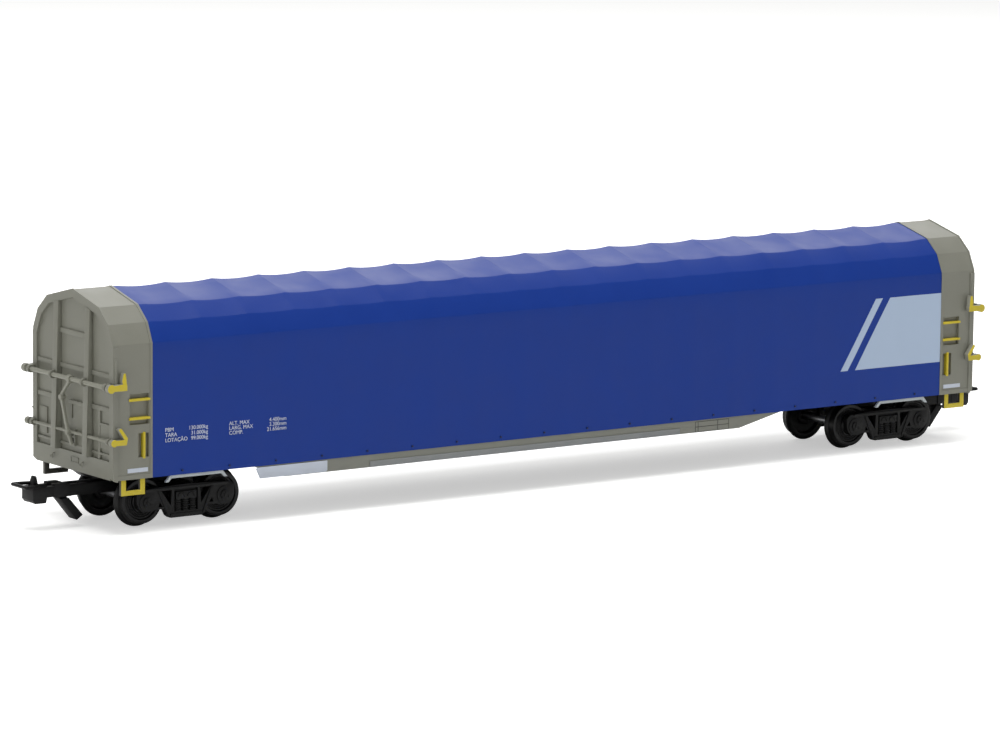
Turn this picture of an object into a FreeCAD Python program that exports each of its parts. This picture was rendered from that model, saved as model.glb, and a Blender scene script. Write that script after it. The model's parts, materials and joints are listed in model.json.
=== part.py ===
import FreeCAD, Part
import math
import os

from FreeCAD import Vector

os.makedirs("parts", exist_ok=True)

# Tarpaulin wagon, a table-top railway model in HO scale (1:87), sizes in mm.
# X runs along the wagon, Y across it, Z up; z = 0 is the lowest point of the
# wheel flanges and the origin is midway along and across the wagon.

# ---- driving dimensions -------------------------------------------------
BODY_LENGTH = 240.5          # over the two end walls
BODY_WIDTH = 34.2            # over the upright sides
SKIRT_Z = 12.4               # bottom edge of tarpaulin and end housings
SHOULDER_Z = 42.0            # top of the upright side
HAUNCH_IN = 2.03             # lower roof break, inwards of the side
HAUNCH_RISE = 4.34           # and above the shoulder
CROWN_IN = 6.02              # upper roof break, inwards of the side
CROWN_RISE = 7.68            # and above the shoulder
RIDGE_RISE = 10.4            # ridge above the shoulder
WALL = 1.3                   # wall of the hood and of the end housings
HOUSING_LENGTH = 10.04       # grey end housing, along X
LIP_LENGTH = 0.6             # raised lip where the housing meets the hood
LIP_RISE = 0.16
HOOD_MARGIN = 1.58           # plain hood between the last bow and the housing
BAY_COUNT = 18               # spans of cloth between the bows
SAG = 0.42                   # how far the cloth sinks between two bows

WALL_RECESS = 0.7            # end panel behind the end frame
END_PANEL_T = 0.9
FRAME_SIDE = 1.4             # end frame, width at the sides
FRAME_TOP_EXTRA = 0.3        # end frame, wider by this under the roof
FRAME_SILL_H = 4.1           # height of the bottom member of the end frame
POST_Y = 6.8
POST_W = 2.0
POST_PROUD_TOP = 0.1         # the posts taper outwards towards their feet
POST_PROUD_FOOT = 1.1
RAIL_T = 0.45                # level bars, standing out from the end panel
TOP_RAIL_Z = 42.2            # undersides of the level bars
UPPER_RAIL_Z = 34.6
MIDDLE_RAIL_Z = 27.2
LOW_RAIL_Z = 17.6
HATCH_Z0 = 18.9              # raised hatch in one side bay
HATCH_Z1 = 24.8
CASE_Z = 27.9                # top of the lock case in the middle bay

CORNER_LENGTH = 1.25         # corner post, along the side
CORNER_DROP = 0.3            # its foot, below the skirt
CORNER_CUT = 0.9             # bevel on the corner's lower end
POCKET_MARGIN = 0.89         # step pockets, from the housing's inner edge
POCKET_DEPTH = 0.8
LADDER_L = 4.8
LADDER_Z0 = 24.4
LADDER_Z1 = 31.1
RUNG_T = 0.55
RUNG_RISE = 0.35             # how far a rung stands out of the side
RUNG_OVERHANG = 0.25
RUNG_INSET = 1.3             # rung centre from the pocket's edge
GRAB_L = 2.6
GRAB_Z0 = 17.1
GRAB_Z1 = 22.4
STEP_LENGTH = 6.0
STEP_INSET = 5.25            # middle of the step from the end wall
STEP_Z = 8.9
STEP_T = 0.9

FLOOR_Z = 12.8               # underside of the floor
FLOOR_T = 1.3
SILL_T = 1.0                 # side sill plate
SILL_INSET = 0.2             # its face behind the side of the hood
SILL_Z = 9.5                 # bottom of the side sill
CENTRE_SILL_W = 4.8
CENTRE_SILL_Z = 10.8
BEARER_PITCH = 24.0
BEARER_COUNT = 6
BEARER_T = 1.2

BOGIE_INSET = 21.65          # bogie pivot from the end wall
WHEELBASE = 19.86            # axle spacing inside one bogie
TREAD_R = 5.1
FLANGE_H = 0.8
WHEEL_BACK = 7.2             # wheel back face from the centre line
TYRE_W = 2.8
FLANGE_T = 0.8
AXLE_R = 1.0
JOURNAL_R = 0.6
JOURNAL_END = 11.6
FRAME_IN = 10.6              # inner face of the bogie side frame
FRAME_OUT = 12.1
FRAME_OVERHANG = 2.5         # side frame beyond the axle
CAP_R = 1.5                  # bearing cap
CAP_RISE = 0.55
NEST_HALF = 3.0              # spring nest, half its opening
SPRING_R = 0.8
SPRING_TOP = 6.0
TRANSOM_HALF = 3.4
TRANSOM_Z0 = 6.4
TRANSOM_Z1 = 9.0
CENTRE_PLATE_R = 4.6
CENTRE_PLATE_Z = 10.0
KINGPIN_R = 1.9

ARM_W = 4.2                  # coupler arm, across
ARM_Z0 = 7.2
ARM_Z1 = 9.7
HEAD_START = 27.6            # coupler head, from the bogie pivot
HEAD_L = 5.4
HEAD_W = 5.0
LOOP_REACH = 2.0             # wire loop beyond the head
LOOP_W = 6.0
LOOP_WIRE_R = 0.4
HOOK_PIVOT = 24.8            # hook pivot, from the bogie pivot
HOOK_Z = 8.6
HOOK_PIN_R = 0.4
HOOK_T = 1.5

SHAFT_R = 0.5                # upper lock shaft
SHAFT_OUT = 1.2              # its centre, out from the end frame
UPPER_Z = 32.9
LOW_SHAFT_R = 0.35
LOW_SHAFT_OUT = 0.55
LOWER_Z = 21.0
LEVER_GAP = 0.5              # lever, from the side of the body
LEVER_T = 1.3
LEVER_H = 1.2

# ---- clearances ---------------------------------------------------------
RUN_FIT = 0.05               # radial, turning shaft in its hole
END_FLOAT = 0.2              # along a turning shaft
SIDE_PLAY = 0.2              # each side of a lever in its slot
PLATE_GAP = 0.12             # between body bolster and bogie centre plate
SHOE_GAP = 0.58              # brake shoe to wheel tread
BOLSTER_MARGIN = 2.2         # body bolster's end to the inside of the side
HATCH_MARGIN = 0.4           # hatch to the end frame

# ---- derived ------------------------------------------------------------
HALF_L = BODY_LENGTH / 2
HALF_W = BODY_WIDTH / 2
HAUNCH_Y = HALF_W - HAUNCH_IN
HAUNCH_Z = SHOULDER_Z + HAUNCH_RISE
CROWN_Y = HALF_W - CROWN_IN
CROWN_Z = SHOULDER_Z + CROWN_RISE
RIDGE_Z = SHOULDER_Z + RIDGE_RISE
HOOD_END = HALF_L - HOUSING_LENGTH
RIBBED_HALF = HOOD_END - HOOD_MARGIN
BAY_PITCH = 2 * RIBBED_HALF / BAY_COUNT
AXLE_Z = TREAD_R + FLANGE_H
FLANGE_R = TREAD_R + FLANGE_H
INNER_W = HALF_W - WALL
PANEL_X = HALF_L - WALL_RECESS
FRAME_SILL_Z = SKIRT_Z + FRAME_SILL_H
SILL_Y = HALF_W - SILL_INSET
POCKET_X = HOOD_END + POCKET_MARGIN
STEP_X = HALF_L - STEP_INSET
BOGIE_X = HALF_L - BOGIE_INSET
AXLE_DX = WHEELBASE / 2
FRAME_HALF = AXLE_DX + FRAME_OVERHANG
HEAD_END = HEAD_START + HEAD_L
UPPER_X = HALF_L + SHAFT_OUT
LOWER_X = HALF_L + LOW_SHAFT_OUT
LEVER_Y0 = HALF_W + LEVER_GAP
LEVER_Y1 = LEVER_Y0 + LEVER_T
SHAFT_END = LEVER_Y0 + 0.5
ENDS = (("a", -1), ("b", 1))


def box(x0, x1, y0, y1, z0, z1):
    lo = Vector(min(x0, x1), min(y0, y1), min(z0, z1))
    return Part.makeBox(abs(x1 - x0), abs(y1 - y0), abs(z1 - z0), lo)


def rod(p, q, r):
    p = Vector(*p)
    q = Vector(*q)
    return Part.makeCylinder(r, (q - p).Length, p, q - p)


def bent_rod(points, r):
    parts = [rod(a, b, r) for a, b in zip(points, points[1:])]
    parts += [Part.makeSphere(r, Vector(*p)) for p in points[1:-1]]
    return fuse(parts)


def fuse(shapes):
    first = shapes[0]
    if len(shapes) > 1:
        first = first.multiFuse(shapes[1:])
    return first.removeSplitter()


def prism_x(points_yz, x0, x1):
    pts = [Vector(x0, y, z) for y, z in points_yz]
    face = Part.Face(Part.makePolygon(pts + [pts[0]]))
    return face.extrude(Vector(x1 - x0, 0, 0))


def prism_y(points_xz, y0, y1):
    pts = [Vector(x, y0, z) for x, z in points_xz]
    face = Part.Face(Part.makePolygon(pts + [pts[0]]))
    return face.extrude(Vector(0, y1 - y0, 0))


def prism_z(points_xy, z0, z1):
    pts = [Vector(x, y, z0) for x, y in points_xy]
    face = Part.Face(Part.makePolygon(pts + [pts[0]]))
    return face.extrude(Vector(0, 0, z1 - z0))


def turned_y(profile_ry, y_dir=1):
    pts = [Vector(r, y * y_dir, 0) for r, y in profile_ry]
    face = Part.Face(Part.makePolygon(pts + [pts[0]]))
    return face.revolve(Vector(0, 0, 0), Vector(0, 1, 0), 360)


def mirror_x(shape):
    return shape.mirror(Vector(0, 0, 0), Vector(1, 0, 0))


def mirror_y(shape):
    return shape.mirror(Vector(0, 0, 0), Vector(0, 1, 0))


def turn_half(shape):
    out = shape.copy()
    out.rotate(Vector(0, 0, 0), Vector(0, 0, 1), 180)
    return out


def at_end(shape, side):
    """Shapes are drawn for the +X end and mirrored to the -X end."""
    return shape if side > 0 else mirror_x(shape)


def save(name, shapes):
    if not isinstance(shapes, list):
        shapes = [shapes]
    solids = []
    for s in shapes:
        solids += s.Solids
    out = solids[0] if len(solids) == 1 else Part.makeCompound(solids)
    out.exportStep("parts/" + name + ".step")


# ---- cross-section of the body -----------------------------------------
HALF_SECTION = [
    (HALF_W, SKIRT_Z),
    (HALF_W, SHOULDER_Z),
    (HAUNCH_Y, HAUNCH_Z),
    (CROWN_Y, CROWN_Z),
    (0.0, RIDGE_Z),
]


def line_hit(p, d, q, e):
    k = ((q[0] - p[0]) * e[1] - (q[1] - p[1]) * e[0]) / (d[0] * e[1] - d[1] * e[0])
    return (p[0] + k * d[0], p[1] + k * d[1])


def section(inset, bottom, roof_inset=None):
    """The body outline moved inwards (outwards when negative)."""
    roof = inset if roof_inset is None else roof_inset
    lines = []
    for (y0, z0), (y1, z1) in zip(HALF_SECTION, HALF_SECTION[1:]):
        n = math.hypot(y1 - y0, z1 - z0)
        d = ((y1 - y0) / n, (z1 - z0) / n)
        k = inset if d[0] == 0 else roof
        lines.append(((y0 - d[1] * k, z0 + d[0] * k), d))
    half = [(HALF_W - inset, bottom)]
    for (p, d), (q, e) in zip(lines, lines[1:]):
        half.append(line_hit(p, d, q, e))
    half.append(line_hit(lines[-1][0], lines[-1][1], (0, 0), (0, 1)))
    return half + [(-y, z) for y, z in reversed(half[:-1])]


# ---- tarpaulin hood -----------------------------------------------------
def roof_section(x, sag):
    half = [
        (HALF_W, SHOULDER_Z),
        (HAUNCH_Y - 0.25 * sag, HAUNCH_Z - 0.30 * sag),
        (CROWN_Y - 0.15 * sag, CROWN_Z - 0.75 * sag),
        (0.0, RIDGE_Z - sag),
    ]
    ring = half + [(-y, z) for y, z in reversed(half[:-1])]
    pts = [Vector(x, y, z) for y, z in ring]
    return Part.makePolygon(pts + [pts[0]])


def tarpaulin_hood():
    run = RIBBED_HALF
    sections = [roof_section(0, 0), roof_section(BAY_PITCH / 2, SAG)]
    sections.append(roof_section(BAY_PITCH, 0))
    bay = Part.makeLoft(sections, True, False)
    pieces = [box(-HOOD_END, HOOD_END, -HALF_W, HALF_W, SKIRT_Z, SHOULDER_Z)]
    flat = section(0, SHOULDER_Z)
    pieces.append(prism_x(flat, -HOOD_END, -run))
    pieces.append(prism_x(flat, run, HOOD_END))
    for k in range(BAY_COUNT):
        one = bay.copy()
        one.translate(Vector(-run + k * BAY_PITCH, 0, 0))
        pieces.append(one)
    outer = pieces[0].multiFuse(pieces[1:])
    inner = prism_x(section(WALL, SKIRT_Z - 1), -HOOD_END - 1, HOOD_END + 1)
    return outer.cut(inner)


# ---- end housings -------------------------------------------------------
def recess_solid():
    points = section(FRAME_SIDE, FRAME_SILL_Z, FRAME_SIDE + FRAME_TOP_EXTRA)
    return prism_x(points, PANEL_X, HALF_L + 2 * POST_PROUD_FOOT)


def end_housing():
    shell = prism_x(section(0, SKIRT_Z), HOOD_END, HALF_L)
    lip = prism_x(section(-LIP_RISE, SKIRT_Z), HOOD_END, HOOD_END + LIP_LENGTH)
    rim = prism_x(section(-LIP_RISE, SKIRT_Z), HALF_L - 0.35, HALF_L)
    skirt_band = box(HOOD_END, HALF_L, -HALF_W - LIP_RISE, HALF_W + LIP_RISE,
                     SKIRT_Z, SKIRT_Z + 1.0)
    corner = box(HALF_L - CORNER_LENGTH, HALF_L, INNER_W + 0.1, HALF_W + 0.3,
                 SKIRT_Z - CORNER_DROP, SHOULDER_Z - 0.6)
    body = fuse([shell, lip, rim, skirt_band, corner, mirror_y(corner)])
    back = PANEL_X - END_PANEL_T
    body = body.cut(prism_x(section(WALL, SKIRT_Z), HOOD_END, back))
    body = body.cut(box(HOOD_END - 1, back, -INNER_W, INNER_W, SKIRT_Z - 2, SKIRT_Z))
    body = body.cut(recess_solid())
    low = SKIRT_Z - CORNER_DROP
    toe = prism_y([(HALF_L - CORNER_CUT, low - 1), (HALF_L - CORNER_CUT, low),
                   (HALF_L, low + CORNER_CUT), (HALF_L + 1, low + CORNER_CUT),
                   (HALF_L + 1, low - 1)], INNER_W + 0.1, HALF_W + 1)
    body = body.cut(toe).cut(mirror_y(toe))
    for sign in (-1, 1):
        y0 = sign * (HALF_W - POCKET_DEPTH)
        y1 = sign * (HALF_W + 2)
        body = body.cut(box(POCKET_X, POCKET_X + LADDER_L, y0, y1, LADDER_Z0, LADDER_Z1))
        body = body.cut(box(POCKET_X, POCKET_X + GRAB_L, y0, y1, GRAB_Z0, GRAB_Z1))
    return body.removeSplitter()


def end_posts():
    """Two uprights that taper outwards to their feet, bored for the lower shaft."""
    top = HALF_L + POST_PROUD_TOP
    foot = HALF_L + POST_PROUD_FOOT
    side = [(PANEL_X, FRAME_SILL_Z), (foot, FRAME_SILL_Z), (top, RIDGE_Z), (PANEL_X, RIDGE_Z)]
    bore = rod((LOWER_X, -HALF_W, LOWER_Z), (LOWER_X, HALF_W, LOWER_Z), LOW_SHAFT_R + RUN_FIT)
    room = recess_solid()
    posts = []
    for sign in (-1, 1):
        y = sign * POST_Y
        posts.append(prism_y(side, y - POST_W / 2, y + POST_W / 2).common(room).cut(bore))
    return posts


def wall_bar(y0, y1, z0, z1, out=RAIL_T):
    """Bar or plate standing out from the end panel."""
    return box(PANEL_X, PANEL_X + out, y0, y1, z0, z1)


def end_rails():
    """Level bars, lock case and hatches on the end wall, between the posts."""
    edge = HALF_W - FRAME_SIDE
    gap_in = POST_Y - POST_W / 2
    gap_out = POST_Y + POST_W / 2
    bay_mid = (gap_out + edge) / 2 - 0.9
    rails = [wall_bar(-gap_in, gap_in, TOP_RAIL_Z, TOP_RAIL_Z + 1.1),
             wall_bar(-gap_in, gap_in, UPPER_RAIL_Z, UPPER_RAIL_Z + 1.0)]
    for sign in (-1, 1):
        rails.append(wall_bar(sign * gap_out, sign * edge, UPPER_RAIL_Z, UPPER_RAIL_Z + 1.0))
    case = wall_bar(-gap_in, gap_in - 4.2, LOW_RAIL_Z, CASE_Z - 0.8, 0.35)
    case = case.fuse(wall_bar(-gap_in, gap_in - 4.2, CASE_Z - 0.8, CASE_Z, 0.8))
    case = case.fuse(wall_bar(-gap_in, gap_in, LOW_RAIL_Z, LOW_RAIL_Z + 0.6))
    slit = wall_bar(gap_in - 5.6, gap_in - 4.8, CASE_Z - 4.0, CASE_Z - 0.9, 1.0)
    rails.append(case.cut(slit).removeSplitter())
    middle = MIDDLE_RAIL_Z
    far = wall_bar(gap_out, edge, middle, middle + 1.0)
    far = far.fuse(wall_bar(gap_out, edge, LOW_RAIL_Z, LOW_RAIL_Z + 0.6))
    rails.append(far.removeSplitter())
    hatch = wall_bar(edge - HATCH_MARGIN - 3.4, edge - HATCH_MARGIN, HATCH_Z0, HATCH_Z1, 0.3)
    rails.append(hatch)
    near = wall_bar(-gap_out, -edge, middle, middle + 1.0)
    near = near.fuse(wall_bar(-bay_mid - 0.45, -bay_mid + 0.45, FRAME_SILL_Z, middle))
    near = near.fuse(wall_bar(-bay_mid, -edge, HATCH_Z1 - 0.7, HATCH_Z1 - 0.3, 0.45))
    near = near.fuse(wall_bar(-bay_mid, -edge, HATCH_Z0, HATCH_Z1 - 0.6, 0.3))
    near = near.fuse(wall_bar(-gap_out, -edge, LOW_RAIL_Z - 0.1, LOW_RAIL_Z + 0.4))
    rails.append(near.removeSplitter())
    return rails


# ---- locking gear on the end wall --------------------------------------
def lock_shafts():
    upper = rod((UPPER_X, -SHAFT_END, UPPER_Z), (UPPER_X, SHAFT_END, UPPER_Z), SHAFT_R)
    lower = rod((LOWER_X, -SHAFT_END, LOWER_Z), (LOWER_X, SHAFT_END, LOWER_Z), LOW_SHAFT_R)
    return [upper, lower]


def bearing_lug(x, y, z, half, radius, shaft):
    lug = box(HALF_L, x, y - half, y + half, z - radius, z + radius)
    cap = rod((x, y - half, z), (x, y + half, z), radius)
    behind = box(HALF_L - 2 * radius, HALF_L, y - half, y + half, z - radius, z + radius)
    return lug.fuse(cap).cut(behind).removeSplitter().cut(shaft)


def shaft_brackets():
    """Lugs on the corners and posts that carry the two shafts."""
    out = []
    upper, lower = lock_shafts()
    corner = HALF_W - FRAME_SIDE / 2
    posts = end_posts()
    for sign in (-1, 1):
        out.append(bearing_lug(UPPER_X, sign * corner, UPPER_Z, 0.45, SHAFT_R + 0.4, upper))
        lug = bearing_lug(UPPER_X, sign * POST_Y, UPPER_Z, 0.35, SHAFT_R + 0.4, upper)
        for post in posts:
            lug = lug.cut(post)
        out.append(lug)
        out.append(bearing_lug(LOWER_X, sign * corner, LOWER_Z, 0.45, LOW_SHAFT_R + 0.4, lower))
    return out


def lever(x, z, shaft_r, outline):
    """Hub on the shaft's end and a flat lever beside the body."""
    hub = rod((x, LEVER_Y0, z), (x, LEVER_Y1, z), shaft_r + 0.45)
    body = fuse([hub] + [prism_y(pts, LEVER_Y0, LEVER_Y1) for pts in outline])
    return body.cut(rod((x, 0, z), (x, SHAFT_END, z), shaft_r))


def lock_levers():
    """Upper lever bent up like an L, lower one folded back like a V."""
    x, z, h = UPPER_X, UPPER_Z, LEVER_H / 2
    tip = x - 3.9
    upper = lever(x, z, SHAFT_R, [
        [(x, z - h), (x, z + h), (tip + 0.6, z + h + 0.3), (tip, z + h), (tip, z - h)],
        [(tip, z), (tip + 0.9, z), (tip + 1.3, z + 1.6), (tip + 0.9, z + 3.2),
         (tip + 0.4, z + 3.2)]])
    x, z = LOWER_X, LOWER_Z
    tip = x - 3.4
    lower = lever(x, z, LOW_SHAFT_R, [
        [(x, z - h), (x, z + h), (tip + 0.9, z + h), (tip, z + 0.9), (tip + 0.3, z - h)],
        [(tip, z + 0.9), (tip + 0.8, z + 0.5), (tip + 2.3, z + 2.9), (tip + 1.7, z + 3.2)]])
    return [upper, mirror_y(upper), lower, mirror_y(lower)]


def lock_link():
    """Cranked flat link that hangs from the upper shaft in front of the lower one."""
    x0 = UPPER_X - 0.3
    x1 = UPPER_X + 0.3
    path = [(-1.0, UPPER_Z - 0.35, 0.55), (2.3, 29.3, 0.4), (2.6, 28.1, 0.4),
            (-0.2, 20.7, 0.4), (-1.7, LOW_RAIL_Z + 0.9, 0.3)]
    outer = [(y + half, z) for y, z, half in path]
    inner = [(y - half, z) for y, z, half in reversed(path)]
    link = prism_x(outer + inner, x0, x1)
    eye = rod((UPPER_X, -1.7, UPPER_Z), (UPPER_X, -0.3, UPPER_Z), SHAFT_R + 0.35)
    knee = rod((x0 - 0.3, 2.5, 28.4), (x1 + 0.3, 2.5, 28.4), 0.6)
    foot = rod((LOWER_X + LOW_SHAFT_R, -0.15, LOWER_Z), (x1 + 0.2, -0.15, LOWER_Z), 0.6)
    link = link.multiFuse([eye, knee, foot])
    for shaft in lock_shafts():
        link = link.cut(shaft)
    return link.removeSplitter()


# ---- steps and grab rungs ----------------------------------------------
def ladder_rungs():
    out = []
    y0 = HALF_W - POCKET_DEPTH
    y1 = HALF_W + RUNG_RISE
    half = RUNG_T / 2
    x0 = POCKET_X
    x1 = POCKET_X + LADDER_L
    for z in (LADDER_Z0 + RUNG_INSET, LADDER_Z1 - RUNG_INSET):
        bar = box(x0 - RUNG_OVERHANG, x1 + RUNG_OVERHANG, HALF_W, y1, z - half, z + half)
        out.append(bar.fuse(box(x0, x1, y0, HALF_W, z - half, z + half)).removeSplitter())
    x0 = POCKET_X + (GRAB_L - RUNG_T) / 2
    x1 = x0 + RUNG_T
    bar = box(x0, x1, HALF_W, y1, GRAB_Z0 - RUNG_OVERHANG, GRAB_Z1 + RUNG_OVERHANG)
    out.append(bar.fuse(box(x0, x1, y0, HALF_W, GRAB_Z0, GRAB_Z1)).removeSplitter())
    return out + [mirror_y(s) for s in out]


def step_iron():
    x0 = STEP_X - STEP_LENGTH / 2
    x1 = STEP_X + STEP_LENGTH / 2
    outer = box(x0, x1, HALF_W - STEP_T - 0.1, HALF_W - 0.1, STEP_Z, SKIRT_Z)
    inner = box(x0 + 1.2, x1 - 1.2, 0, HALF_W + 1, STEP_Z + 1.1, SKIRT_Z + 1)
    return outer.cut(inner)


# ---- underframe ---------------------------------------------------------
BOLSTER_HALF = 3.0
DRAFT_X0 = BOGIE_X + 5.4
DRAFT_X1 = PANEL_X - END_PANEL_T


def floor_pan():
    x = PANEL_X - END_PANEL_T
    return box(-x, x, -INNER_W, INNER_W, FLOOR_Z, FLOOR_Z + FLOOR_T)


def centre_sill():
    w = CENTRE_SILL_W / 2
    x = BOGIE_X - 4.2
    beam = box(-x, x, -w, w, CENTRE_SILL_Z, FLOOR_Z)
    hollow = box(-x - 1, x + 1, -w + 0.8, w - 0.8, CENTRE_SILL_Z - 1, FLOOR_Z - 0.8)
    return beam.cut(hollow)


def cross_bearers():
    out = []
    w = CENTRE_SILL_W / 2
    sill_in = SILL_Y - SILL_T
    first = -BEARER_PITCH * (BEARER_COUNT - 1) / 2
    for k in range(BEARER_COUNT):
        x = first + k * BEARER_PITCH
        for sign in (-1, 1):
            pts = [(sign * w, FLOOR_Z), (sign * w, CENTRE_SILL_Z),
                   (sign * sill_in, SKIRT_Z - 0.7), (sign * sill_in, SKIRT_Z),
                   (sign * INNER_W, SKIRT_Z), (sign * INNER_W, FLOOR_Z)]
            out.append(prism_x(pts, x - BEARER_T / 2, x + BEARER_T / 2))
    return out


SILL_START = -BOGIE_X + 14.6     # sloped end of the near sill, by the left bogie
SILL_STOP = BOGIE_X - 36.2       # and the one towards the right bogie


def side_sill():
    """Fish-bellied plate on the -Y side, reaching further at its left end."""
    pts = [(SILL_START, SKIRT_Z), (SILL_START + 8.0, SILL_Z), (SILL_STOP - 12.3, SILL_Z),
           (SILL_STOP, SKIRT_Z)]
    return prism_y(pts, -SILL_Y, -SILL_Y + SILL_T)


def number_plate():
    x0 = SILL_START + 0.4
    x1 = x0 + 18.6
    z0 = SILL_Z + 0.15
    z1 = SKIRT_Z - 0.3
    pts = [(x0 + 1.0, z0), (x1 - 0.3, z0), (x1, z0 + 0.3), (x1, z1), (x0 + 0.4, z1),
           (x0, z1 - 0.3)]
    return prism_y(pts, -SILL_Y - 0.35, -SILL_Y)


def sill_strip():
    x0 = SILL_START + 30.4
    x1 = SILL_STOP - 29.8
    return box(x0, x1, -SILL_Y - 0.25, -SILL_Y, SILL_Z + 0.05, SILL_Z + 1.4)


def cover_rail():
    """Light rod over a bogie, its two ends turned down."""
    y0 = HALF_W - 0.95
    y1 = HALF_W - 0.15
    x = BOGIE_X + 0.2
    foot = SKIRT_Z - 1.5
    bar = SKIRT_Z - 0.7
    pts = [(x - 7.9, foot), (x - 7.2, foot), (x - 6.4, bar), (x + 6.4, bar),
           (x + 7.2, foot), (x + 7.9, foot), (x + 6.7, SKIRT_Z), (x - 6.7, SKIRT_Z)]
    return prism_y(pts, y0, y1)


def body_bolster():
    z0 = CENTRE_PLATE_Z + PLATE_GAP
    end = INNER_W - BOLSTER_MARGIN
    beam = prism_x(
        [(-end, FLOOR_Z), (-end + 0.6, FLOOR_Z - 0.9), (-4.5, FLOOR_Z - 1.4),
         (4.5, FLOOR_Z - 1.4), (end - 0.6, FLOOR_Z - 0.9), (end, FLOOR_Z)],
        BOGIE_X - BOLSTER_HALF, BOGIE_X + BOLSTER_HALF)
    boss = rod((BOGIE_X, 0, z0), (BOGIE_X, 0, FLOOR_Z), 4.0)
    whole = beam.fuse(boss).removeSplitter()
    return whole.cut(rod((BOGIE_X, 0, 0), (BOGIE_X, 0, FLOOR_Z), KINGPIN_R))


def kingpin():
    shank = rod((BOGIE_X, 0, TRANSOM_Z0 - END_FLOAT), (BOGIE_X, 0, FLOOR_Z), KINGPIN_R)
    head = rod((BOGIE_X, 0, TRANSOM_Z0 - END_FLOAT - 0.8),
               (BOGIE_X, 0, TRANSOM_Z0 - END_FLOAT), KINGPIN_R + 0.9)
    slot = box(BOGIE_X - 3, BOGIE_X + 3, -0.3, 0.3, 0, TRANSOM_Z0 - END_FLOAT - 0.45)
    return fuse([shank, head]).cut(slot)


def draft_box():
    low = FLOOR_Z - 2.2
    pts = [(DRAFT_X0, FLOOR_Z), (DRAFT_X0, low), (DRAFT_X1 - 1.8, low),
           (DRAFT_X1, FLOOR_Z - 0.9), (DRAFT_X1, FLOOR_Z)]
    return prism_y(pts, -3.3, 3.3)


# ---- bogie, drawn about its pivot with +x towards the wagon end ---------
def side_outline():
    """Cast side frame: arched top, a bearing at each end, the belly between them."""
    a = AXLE_DX
    half = [(0, 2.0), (4.1, 2.0), (4.8, 2.5), (5.6, AXLE_Z - 1.8), (a - 2.0, AXLE_Z - 1.8),
            (a - 1.3, AXLE_Z - 2.1), (a + 1.2, AXLE_Z - 2.1), (a + 2.1, AXLE_Z - 1.2),
            (FRAME_HALF, AXLE_Z), (FRAME_HALF, 7.9), (FRAME_HALF - 0.8, 8.7), (a - 3.0, 9.0),
            (0, 9.2)]
    return half + [(-x, z) for x, z in reversed(half[1:-1])]


def side_frame():
    """One side frame on the +y side of the bogie, springs moulded in."""
    plate = prism_y(side_outline(), FRAME_IN, FRAME_OUT)
    for sign in (-1, 1):
        hole = [(sign * (NEST_HALF + 0.65), 8.15), (sign * (AXLE_DX - 3.6), 8.15),
                (sign * (NEST_HALF + 0.9), 4.7)]
        plate = plate.cut(prism_y(hole, FRAME_IN - 1, FRAME_OUT + 1))
        small = [(sign * (AXLE_DX - 4.0), 4.6), (sign * (AXLE_DX - 2.9), 4.6),
                 (sign * (AXLE_DX - 3.2), 5.7)]
        plate = plate.cut(prism_y(small, FRAME_IN - 1, FRAME_OUT + 1))
    floor = FRAME_OUT - 0.8
    plate = plate.cut(box(-NEST_HALF, NEST_HALF, floor, FRAME_OUT + 1, 3.3, 8.2))
    for k in (-1, 0, 1):
        x = k * (2 * SPRING_R + 0.25)
        plate = plate.fuse(rod((x, floor + 0.1, 3.3), (x, floor + 0.1, SPRING_TOP), SPRING_R))
    bolster_end = box(-2.6, 2.6, floor, FRAME_OUT + 0.1, SPRING_TOP, 7.6)
    beam = box(2.0 - FRAME_HALF, FRAME_HALF - 2.0, FRAME_OUT, FRAME_OUT + 0.25, 8.35, 8.8)
    chord = box(-4.0, 4.0, FRAME_OUT, FRAME_OUT + 0.25, 2.0, 2.9)
    plate = plate.multiFuse([bolster_end, beam, chord])
    for sign in (-1, 1):
        x = sign * AXLE_DX
        boss = rod((x, FRAME_OUT, AXLE_Z), (x, FRAME_OUT + 0.25, AXLE_Z), CAP_R + 0.5)
        cap = rod((x, FRAME_OUT, AXLE_Z), (x, FRAME_OUT + CAP_RISE, AXLE_Z), CAP_R - 0.3)
        strut = prism_y([(sign * 4.0, 2.1), (sign * 4.7, 2.5), (sign * (AXLE_DX - 2.6), 8.3),
                         (sign * (AXLE_DX - 3.5), 8.3)], FRAME_OUT, FRAME_OUT + 0.2)
        plate = plate.multiFuse([boss, cap, strut])
        end = JOURNAL_END + END_FLOAT
        plate = plate.cut(rod((x, FRAME_IN - 1, AXLE_Z), (x, end, AXLE_Z), JOURNAL_R + RUN_FIT))
    return plate.removeSplitter()


def brake_shoe():
    """Block between transom and wheel tread on the +x +y corner."""
    y0 = WHEEL_BACK + FLANGE_T + 0.4
    y1 = y0 + 1.2
    face = AXLE_DX - TREAD_R - SHOE_GAP
    hanger = box(TRANSOM_HALF - 1.0, TRANSOM_HALF, y0, y1, AXLE_Z - 1.5, TRANSOM_Z0)
    block = box(TRANSOM_HALF - 1.0, face, y0, y1, AXLE_Z - 1.5, AXLE_Z + 0.1)
    return hanger.fuse(block).removeSplitter()


def bogie_frame():
    side = side_frame()
    transom = box(-TRANSOM_HALF, TRANSOM_HALF, -FRAME_IN, FRAME_IN, TRANSOM_Z0, TRANSOM_Z1)
    plate = rod((0, 0, TRANSOM_Z0), (0, 0, CENTRE_PLATE_Z), CENTRE_PLATE_R)
    shoe = brake_shoe()
    parts = [transom, side, mirror_y(side), plate]
    parts += [shoe, mirror_y(shoe), mirror_x(shoe), mirror_x(mirror_y(shoe))]
    frame = fuse(parts)
    return frame.cut(rod((0, 0, 0), (0, 0, CENTRE_PLATE_Z + 1), KINGPIN_R + RUN_FIT))


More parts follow.
